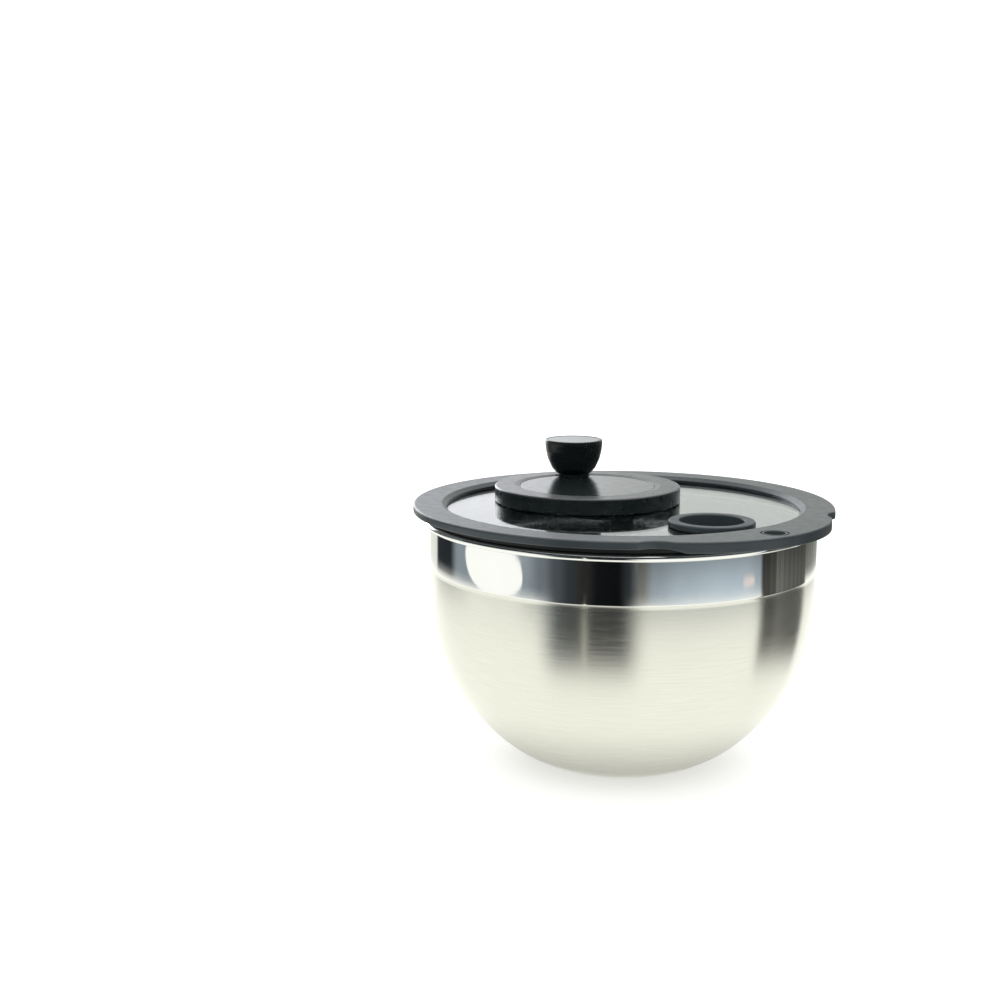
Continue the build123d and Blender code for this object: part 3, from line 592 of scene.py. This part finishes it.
# ---- crank ---------------------------------------------------------------------------------------
def make_knob():
    """The knob: an upturned cup with a seat for its steel disc and a bore for the pin."""
    low, top = knob_low[2], knob_high[2]
    cap_r, cap_seat = 17.4 * MM, top - 1.6 * MM
    bore = 5.0 * MM
    pocket, pocket_low = 6.5 * MM, top - 6.5 * MM
    # (radius, height above the foot, rounding) in millimetres, from the foot up
    side = [(11.6, 0.0, 0.5), (14.5, 3.4, 3.0), (17.2, 9.4, 8.0), (18.4, 14.5, 8.0), (19.0, 19.6, 6.0)]
    corners = [(bore, low, 0.0)] + [(r * MM, low + z * MM, soft * MM) for r, z, soft in side]
    corners += [
        (18.9 * MM, top, 0.8 * MM), (cap_r, top, 0.3 * MM), (cap_r, cap_seat, 0.1 * MM),
        (pocket, cap_seat, 0.1 * MM), (pocket, pocket_low, 0.1 * MM), (bore, pocket_low, 0.0),
    ]
    knob = turned("knob_grip", softened(corners, 8), [KNOB], (KNOB_X, KNOB_Y), closed=True, segments=160)
    return place(knob, "knob", "knob_plastic", "knob_body")


def make_cap():
    """The steel disc in the top of the knob."""
    low, top = cap_low[2], cap_high[2]
    radius = (cap_high[0] - cap_low[0]) / 2
    corners = [(0, low, 0), (radius, low, 0.2 * MM), (radius, top, 0.45 * MM), (0, top, 0)]
    cap = turned("knob_disc", softened(corners), [CAP], (KNOB_X, KNOB_Y), closed=False, segments=160)
    return place(cap, "knob", "cap_steel", "knob_cap")


def make_drum():
    """The drum turned as one moulding, and the boss that the knob stands over."""
    radius, low, top = (drum_high[1] - drum_low[1]) / 2, drum_low[2], DRUM_TOP
    web, seat = 166.8 * MM, cover_low[2]
    post, hub, room = 5.04 * MM, 10.0 * MM, 8.0 * MM
    inside, recess = radius - 2.4 * MM, COVER_R + 0.15 * MM
    room_low = 165.8 * MM
    corners = [
        (post, GEAR_LOW, 0.2), (hub, GEAR_LOW, 0.2), (hub, web, 0.6), (inside, web, 1.8),
        (inside, low, 0.2), (radius, low, 0.5), (radius, top, 1.3), (BEVEL_R, top, 0.5),
        (recess, cover_high[2], 0.25), (recess, seat, 0.1), (room, seat, 0.2),
        (room, room_low, 0.1), (post, room_low, 0.1),
    ]
    points = softened([(r, z, soft * MM) for r, z, soft in corners], steps=6, hold=0.00012)
    drum = turned("drum_shell", points, [SATIN], (CRANK_X, 0.0), segments=288)
    place(drum, "crank", "black_satin_plastic", "crank_drum")
    boss_r, pin_r = 10.6 * MM, 3.0 * MM
    boss_low, boss_top = web + 1.3 * MM, knob_low[2] - 0.4 * MM
    corners = [
        (pin_r, boss_low, 0), (boss_r, boss_low, 0), (boss_r, boss_top, 0.5 * MM), (pin_r, boss_top, 0),
    ]
    boss = turned("drum_boss", softened(corners), [SATIN], (KNOB_X, KNOB_Y), segments=96)
    place(boss, "crank", "black_satin_plastic")


def make_cover():
    """Thin glossy disc laid in the drum's top."""
    low, top = cover_low[2], cover_high[2]
    edge = COVER_R - 0.05 * MM
    corners = [(0, low, 0), (edge, low, 0), (edge, top, 0.35 * MM), (0, top, 0)]
    cover = turned("drum_cover_disc", softened(corners), [COVER], (CRANK_X, 0.0), closed=False, segments=288)
    place(cover, "crank", "cover_plastic", "drum_cover")


make_bowl()
make_ring()
make_well()
make_drum()
make_cover()
make_knob()
make_cap()
dress("glass_plate", GLASS)


# ---- stage ---------------------------------------------------------------------------------------
def flat_material(name, colour, glow):
    """A matt surface that gives off a little light of its own colour."""
    m = Nodes(name)
    for socket in ("Base Color", "Emission Color"):
        m.shader.inputs[socket].default_value = (*colour, 1)
    m.set(Roughness=0.9, Specular_IOR_Level=0.1, Emission_Strength=glow)
    return m.material


def card(name, wide, high, where, material):
    """A flat card that lies face up and shows in the picture."""
    x, y = wide / 2, high / 2
    verts = [(-x, -y, 0), (x, -y, 0), (x, y, 0), (-x, y, 0)]
    mesh = bpy.data.meshes.new(name)
    mesh.from_pydata(verts, [], [(0, 1, 2, 3)])
    mesh.materials.append(material)
    made = bpy.data.objects.new(name, mesh)
    bpy.context.scene.collection.objects.link(made)
    made.location = where


def around_camera(turn, far, high):
    """A place on the stage: turn is in degrees from the camera's side, positive to its right."""
    a = -pi / 2 + CAMERA_TURN + radians(turn)
    return far * cos(a), far * sin(a), high


def smooth(x, low, high):
    """Rises softly from 0 at low to 1 at high."""
    t = min(max((x - low) / (high - low), 0.0), 1.0)
    return t * t * (3 - 2 * t)


def between(x, low, high, soft):
    """1 between low and high, 0 outside, with soft ends."""
    return smooth(x, low - soft, low + soft) - smooth(x, high - soft, high + soft)


def mixed(under, over, share):
    """A share of one colour laid over another."""
    return [u + (o - u) * share for u, o in zip(under, over)]


TABLE = (1.20, 1.20, 1.13)       # the lit table near the bowl
SOFTBOX = (1.22, 1.23, 1.17)
STREAK = (1.9, 1.9, 1.7)         # a thin bright line in the dark part of the front
LAMP = (0.95, 0.80, 0.76)
COOL = (0.86, 1.01, 1.12)        # tints of the unlit room
WARM = (1.02, 1.03, 0.94)
ROOM_STOPS = (                   # degrees from the camera's side, brightness, tint
    (-180, 0.90, WARM), (-150, 0.86, WARM), (-145, 0.030, COOL), (-126, 0.026, COOL), (-116, 0.32, COOL),
    (-60, 0.34, COOL), (-48, 0.19, COOL), (-39, 0.088, COOL), (-30, 0.040, COOL), (-21, 0.024, WARM),
    (-13, 0.0075, COOL), (-2, 0.0060, COOL), (4, 0.030, COOL), (12, 0.18, WARM), (20, 0.37, COOL),
    (36, 0.49, COOL), (60, 0.56, COOL), (78, 0.54, COOL), (90, 0.43, COOL), (93, 0.05, WARM),
    (104, 0.075, WARM), (106, 0.14, WARM), (120, 0.10, WARM), (138, 0.09, WARM), (144, 0.20, WARM),
    (180, 0.40, WARM),
)


def room_stop(seen):
    """Brightness of the room in one direction, between the stops."""
    for (low, dim, tint), (high, bright, other) in zip(ROOM_STOPS, ROOM_STOPS[1:]):
        if low <= seen <= high:
            share = smooth(seen, low, high)
            return [c * (dim + (bright - dim) * share) for c in mixed(tint, other, share)]
    return list(WARM)


def seen_turn(turn, far):
    """Where the band shows a spot of the floor, from -180 at its left edge to 180 at its right.

    It is twice the angle whose sine is the share of the band's half width.
    """
    ray = radians(turn) + atan2(BAND_R * sin(radians(turn) / 2), far)
    slant = (ray - atan2(BAND_R * sin(ray / 2), CAMERA_FAR - BAND_R * cos(ray / 2))) / 2
    edge = sqrt(CAMERA_FAR ** 2 - BAND_R ** 2)
    share = sin(slant) * edge / (CAMERA_FAR - BAND_R * cos(slant))
    return degrees(2 * asin(min(max(share, -1.0), 1.0)))


def room_light(turn, far):
    """What a mirror-bright wall shows of the room: turn in degrees from the camera's side."""
    seen = seen_turn(turn, far)
    colour = room_stop(seen)
    dark_front = between(seen, -46, 9, 9.0) + between(seen, 92, 141, 2.0)
    if seen > 10:
        fade = 1.25 - 0.75 * smooth(far, 0.62, 0.90)
        colour = [c * fade for c in colour]
    if seen > 92:
        lines = 1 + 0.25 * sin(2.1 * seen) * sin(0.9 * seen + 1)
        colour = [c * lines for c in colour]
    reach = smooth(far, 0.18, 0.30) * dark_front + smooth(far, 0.61, 0.66) * (1 - dark_front)
    colour = mixed(TABLE, colour, min(reach, 1.0))
    colour = mixed(colour, STREAK, between(seen, -22.0, -21.0, 0.4) * between(far, 0.27, 0.60, 0.03))
    shade = 0.50 + 0.50 * smooth(far, 0.05, 0.12)
    return [shade * c for c in colour]


def glow_material(name):
    """Gives off the colour stored in the mesh."""
    m = Nodes(name)
    stored = m.node("ShaderNodeAttribute", attribute_name="glow")
    lamp = m.node("ShaderNodeEmission")
    m.link(stored.outputs["Color"], lamp.inputs["Color"])
    m.link(lamp.outputs[0], m.output.inputs["Surface"])
    return m.material


ROOM_HEIGHT = 0.0015             # the mirrored room lies just over the floor
SPOT_HEIGHT = 0.003              # and the light patches just over the room
WALL_LOW = 0.002
WALL_HIGH = 1.5
BACK_FAR = 2.4
FRONT_FAR = 2.2


def glow_mesh(name, rows, columns, spot, colour):
    """A grid whose points and colours come from two functions of (row, column) in 0 to 1."""
    verts, faces, glow = [], [], []
    for i in range(rows + 1):
        for j in range(columns + 1):
            u, v = i / rows, j / columns
            verts.append(spot(u, v))
            glow += [*colour(u, v), 1.0]
    for i in range(rows):
        for j in range(columns):
            k = i * (columns + 1) + j
            faces.append((k, k + 1, k + columns + 2, k + columns + 1))
    mesh = bpy.data.meshes.new(name)
    mesh.from_pydata(verts, [], faces)
    layer = mesh.color_attributes.new("glow", "FLOAT_COLOR", "POINT")
    layer.data.foreach_set("color", glow)
    mesh.materials.append(glow_material(name))
    made = bpy.data.objects.new(name, mesh)
    bpy.context.scene.collection.objects.link(made)
    only_in_mirrors(made)


def only_in_mirrors(made):
    """Hides a piece of the stage from everything but reflections."""
    made.visible_camera = False
    made.visible_diffuse = False
    made.visible_shadow = False
    made.visible_transmission = False


def room_far(u):
    """Distance of a row of the mirrored floor, with more rows near the bowl."""
    return 0.06 + 1.96 * u * u


def room_spot(u, v):
    return around_camera(-180 + 360 * v, room_far(u), ROOM_HEIGHT)


def room_colour(u, v):
    return room_light(-180 + 360 * v, room_far(u))


def mirrored_spot(name, seen, far, wide, deep, power, lean, colour):
    """A rounded light patch low over the floor, as the band of the bowl shows it."""
    def edge(v):
        a = 2 * pi * v
        across = abs(cos(a)) ** (2 / power) * (1 if cos(a) > 0 else -1)
        along = abs(sin(a)) ** (2 / power) * (1 if sin(a) > 0 else -1)
        return across, along

    def spot(u, v):
        across, along = edge(v)
        place_far = far + deep * along * u
        place_seen = seen + wide * across * u - lean * along * u
        place_turn = place_seen
        for _ in range(4):
            place_turn += place_seen - seen_turn(place_turn, place_far)
        return around_camera(place_turn, place_far, SPOT_HEIGHT)

    glow_mesh(name, 6, 96, spot, lambda u, v: colour)


BACK_FAR_LEFT = (4.6, 4.65, 4.85)
BACK_LEFT = (1.55, 1.57, 1.63)   # the bright backdrop, which falls off to the right
BACK_RIGHT = (0.92, 0.96, 0.92)
BACK_ENDS = (0.10, 0.12, 0.13)   # beyond the backdrop on both sides
FRONT = (0.035, 0.045, 0.05)     # the unlit room behind the camera


def back_spot(u, v):
    return around_camera(100 + 160 * v, BACK_FAR, WALL_LOW + WALL_HIGH * u)


def back_colour(u, v):
    colour = mixed(BACK_RIGHT, BACK_LEFT, smooth(v, 0.49, 0.535))
    colour = mixed(colour, BACK_FAR_LEFT, smooth(v, 0.575, 0.63))
    return mixed(BACK_ENDS, colour, between(v, 0.27, 0.78, 0.04))


def front_spot(u, v):
    return around_camera(-100 + 200 * v, FRONT_FAR, WALL_LOW + WALL_HIGH * u)


FLOOR = flat_material("floor_white", (0.93, 0.93, 0.93), 0.35)

card("floor", 30, 30, (0, 0, 0), FLOOR)
glow_mesh("room_mirrored", 64, 720, room_spot, room_colour)
mirrored_spot("softbox_mirrored", -84.5, 0.738, 23.0, 0.122, 2.6, 3.0, SOFTBOX)
mirrored_spot("softbox_above", -85.0, 1.29, 30.0, 0.38, 4.0, 0.0, SOFTBOX)
mirrored_spot("lamp_mirrored", 81.5, 0.692, 4.7, 0.021, 2.0, 0.0, LAMP)
glow_mesh("front_mirrored", 4, 48, front_spot, lambda u, v: FRONT)
glow_mesh("back_mirrored", 4, 48, back_spot, back_colour)

world = bpy.data.worlds.new("studio")
bpy.context.scene.world = world
world.use_nodes = True
background = world.node_tree.nodes["Background"]
background.inputs["Color"].default_value = (1.0, 1.0, 1.0, 1)
background.inputs["Strength"].default_value = 1.1


def area_light(name, size, power, where, facing):
    data = bpy.data.lights.new(name, "AREA")
    data.shape = "RECTANGLE"
    data.size, data.size_y = size
    data.energy = power
    light = bpy.data.objects.new(name, data)
    light.location = where
    light.rotation_euler = (Vector(where) - Vector(facing)).to_track_quat("Z", "Y").to_euler()
    bpy.context.scene.collection.objects.link(light)


area_light("top_box", (1.2, 0.9), 6.0, around_camera(150, 0.5, 1.5), (0, 0, 0.1))


# ---- camera --------------------------------------------------------------------------------------
def turned_pair(a, b, angle):
    """Two square directions, turned in their own plane so that a moves towards b."""
    return cos(angle) * a + sin(angle) * b, cos(angle) * b - sin(angle) * a


def make_camera():
    """The camera on its circle about the bowl, turned a little off its target and rolled."""
    data = bpy.data.cameras.new("camera")
    data.lens = CAMERA_LENS
    data.sensor_width = 36.0
    camera = bpy.data.objects.new("camera", data)
    bpy.context.scene.collection.objects.link(camera)
    target = Vector((0, 0, TARGET_Z))
    a = -pi / 2 + CAMERA_TURN
    away = Vector((cos(a) * cos(CAMERA_RISE), sin(a) * cos(CAMERA_RISE), sin(CAMERA_RISE)))
    forward = -away
    right = Vector((-sin(a), cos(a), 0))
    up = right.cross(forward)
    forward, right = turned_pair(forward, right, CAMERA_YAW)
    forward, up = turned_pair(forward, up, CAMERA_PITCH)
    right, up = turned_pair(right, up, CAMERA_ROLL)
    turn = Matrix((right, up, -forward)).transposed().to_4x4()
    camera.matrix_world = Matrix.Translation(target + CAMERA_FAR * away) @ turn
    bpy.context.scene.camera = camera


make_camera()
bpy.context.scene.view_settings.view_transform = "Standard"
